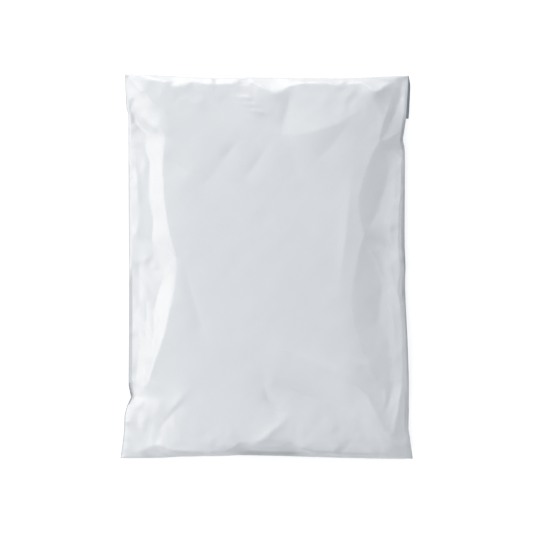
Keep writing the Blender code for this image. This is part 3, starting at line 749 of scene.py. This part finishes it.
class MAILER_OT_glued_flap(bpy.types.Operator):
    """Fold the flap over the top edge and glue it on the back"""

    bl_idname = "mailer.glued_flap"
    bl_label = "Glued Flap"

    def execute(self, context):
        flap, settings = context.scene.mailer_flap, context.scene.mailer_film
        film = Film(settings)
        back = film.back_height()
        bm = bmesh.new()
        columns, rows = round(flap.width / flap.step), round(flap.depth / flap.step)
        made = bmesh.ops.create_grid(bm, x_segments=columns, y_segments=rows, size=0.5)
        for vert in made["verts"]:
            across, up = vert.co.x, vert.co.y + 0.5
            depth = flap.depth - flap.skew * (0.5 - across)
            cut = np.interp(up, *np.transpose(FLAP_END))
            x = flap.shift + across * flap.width - cut * (0.5 + across)
            top = edge_value(TOP_EDGE, np.clip(2 * x / settings.width, -1, 1)) * settings.length / 2
            y = top - (1 - up) * depth
            vert.co = (x, y, film.back_at(back, x, y) - flap.thickness / 4)
        bmesh.ops.recalc_face_normals(bm, faces=bm.faces)
        piece = new_piece(new_mesh(bm, "glued_flap"))
        piece.data.materials.append(film_material("grey_inside", flap.colour, flap.colour, settings))
        piece.data.materials.append(film_material("white_flap", settings.colour, flap.colour, settings))
        wall = piece.modifiers.new("film", "SOLIDIFY")
        wall.thickness = flap.thickness
        wall.offset = 0
        wall.material_offset = 1
        wall.material_offset_rim = 1
        return {"FINISHED"}


def aim(obj, target):
    """Turns a lamp to a point."""
    obj.rotation_euler = (Vector(target) - obj.location).to_track_quat("-Z", "Y").to_euler()


def area_lamp(name, place, power, colour):
    """A large square lamp that the camera doesn't see."""
    lamp = bpy.data.lights.new(name, "AREA")
    lamp.shape = "RECTANGLE"
    lamp.size = lamp.size_y = LAMP_SIDE
    lamp.energy = power
    lamp.color = colour
    made = bpy.data.objects.new(name, lamp)
    bpy.context.scene.collection.objects.link(made)
    made.location = place
    made.visible_camera = False
    aim(made, LAMP_TARGET)


def any_of(nodes, links, path):
    """One for a ray from the camera or in a gloss or clear material, and none for any other."""
    value = path.outputs["Is Camera Ray"]
    for name in ("Is Glossy Ray", "Is Transmission Ray"):
        larger = nodes.new("ShaderNodeMath")
        larger.operation = "MAXIMUM"
        links.new(value, larger.inputs[0])
        links.new(path.outputs[name], larger.inputs[1])
        value = larger.outputs[0]
    return value


def floor_material():
    """Pale floor: it keeps the pack's shadow, and its own light carries it to white."""
    made = bpy.data.materials.new("pale_floor")
    made.use_nodes = True
    nodes, links = made.node_tree.nodes, made.node_tree.links
    nodes.clear()
    out = nodes.new("ShaderNodeOutputMaterial")
    both = nodes.new("ShaderNodeAddShader")
    matt = nodes.new("ShaderNodeBsdfDiffuse")
    matt.inputs["Color"].default_value = FLOOR_COLOUR
    glow = nodes.new("ShaderNodeEmission")
    path = nodes.new("ShaderNodeLightPath")
    seen = nodes.new("ShaderNodeMath")
    seen.operation = "MULTIPLY"
    seen.inputs[1].default_value = FLOOR_GLOW
    links.new(any_of(nodes, links, path), seen.inputs[0])
    links.new(seen.outputs[0], glow.inputs["Strength"])
    links.new(matt.outputs[0], both.inputs[0])
    links.new(glow.outputs[0], both.inputs[1])
    links.new(both.outputs[0], out.inputs["Surface"])
    return made


class MAILER_OT_studio(bpy.types.Operator):
    """Set the floor, the lights and the camera"""

    bl_idname = "mailer.studio"
    bl_label = "Studio"

    def execute(self, context):
        stage = context.scene.mailer_stage
        bm = bmesh.new()
        bmesh.ops.create_grid(bm, x_segments=1, y_segments=1, size=FLOOR_HALF)
        floor = bpy.data.objects.new("floor", new_mesh(bm, "floor"))
        context.scene.collection.objects.link(floor)
        floor.data.materials.append(floor_material())
        for name, place, power in (
            ("left_light", (-1.236, 0, 0.40), stage.left_power),
            ("top_light", (-0.18, 1.225, 0.40), stage.top_power),
            ("bottom_light", (0, -0.61, 1.148), stage.bottom_power),
        ):
            area_lamp(name, place, power, stage.lamp_colour)
        world = bpy.data.worlds.new("room")
        world.use_nodes = True
        background = world.node_tree.nodes["Background"]
        background.inputs["Color"].default_value = (*stage.room_colour, 1)
        background.inputs["Strength"].default_value = stage.ambient
        context.scene.world = world
        camera = bpy.data.cameras.new("camera")
        camera.lens = stage.lens
        camera.sensor_width = 36  # millimetres
        camera.clip_end = 20
        made = bpy.data.objects.new("camera", camera)
        context.scene.collection.objects.link(made)
        made.location = (0, 0, FRAME_LEVEL + stage.frame_width * camera.lens / camera.sensor_width)
        context.scene.camera = made
        context.scene.view_settings.view_transform = "Standard"
        return {"FINISHED"}


class MAILER_PT_panel(bpy.types.Panel):
    """The mailer's pieces and their sizes"""

    bl_idname = "MAILER_PT_panel"
    bl_label = "Mailer"
    bl_space_type = "VIEW_3D"
    bl_region_type = "UI"
    bl_category = "Mailer"

    def draw(self, context):
        for operator in OPERATORS:
            self.layout.operator(operator.bl_idname)
        for name in SETTINGS:
            group = getattr(context.scene, name)
            box = self.layout.box()
            for prop in group.__annotations__:
                box.prop(group, prop)


SETTINGS = {
    "mailer_film": MailerFilmSettings,
    "mailer_flap": MailerFlapSettings,
    "mailer_stage": MailerStageSettings,
}
OPERATORS = (MAILER_OT_film_bag, MAILER_OT_glued_flap, MAILER_OT_studio)


def register():
    for name, group in SETTINGS.items():
        bpy.utils.register_class(group)
        setattr(bpy.types.Scene, name, PointerProperty(type=group))
    for operator in OPERATORS:
        bpy.utils.register_class(operator)
    bpy.utils.register_class(MAILER_PT_panel)


def unregister():
    bpy.utils.unregister_class(MAILER_PT_panel)
    for operator in reversed(OPERATORS):
        bpy.utils.unregister_class(operator)
    for name, group in reversed(SETTINGS.items()):
        delattr(bpy.types.Scene, name)
        bpy.utils.unregister_class(group)


def main():
    register()
    bpy.ops.mailer.film_bag()
    bpy.ops.mailer.glued_flap()
    bpy.ops.mailer.studio()


if __name__ == "__main__":
    main()
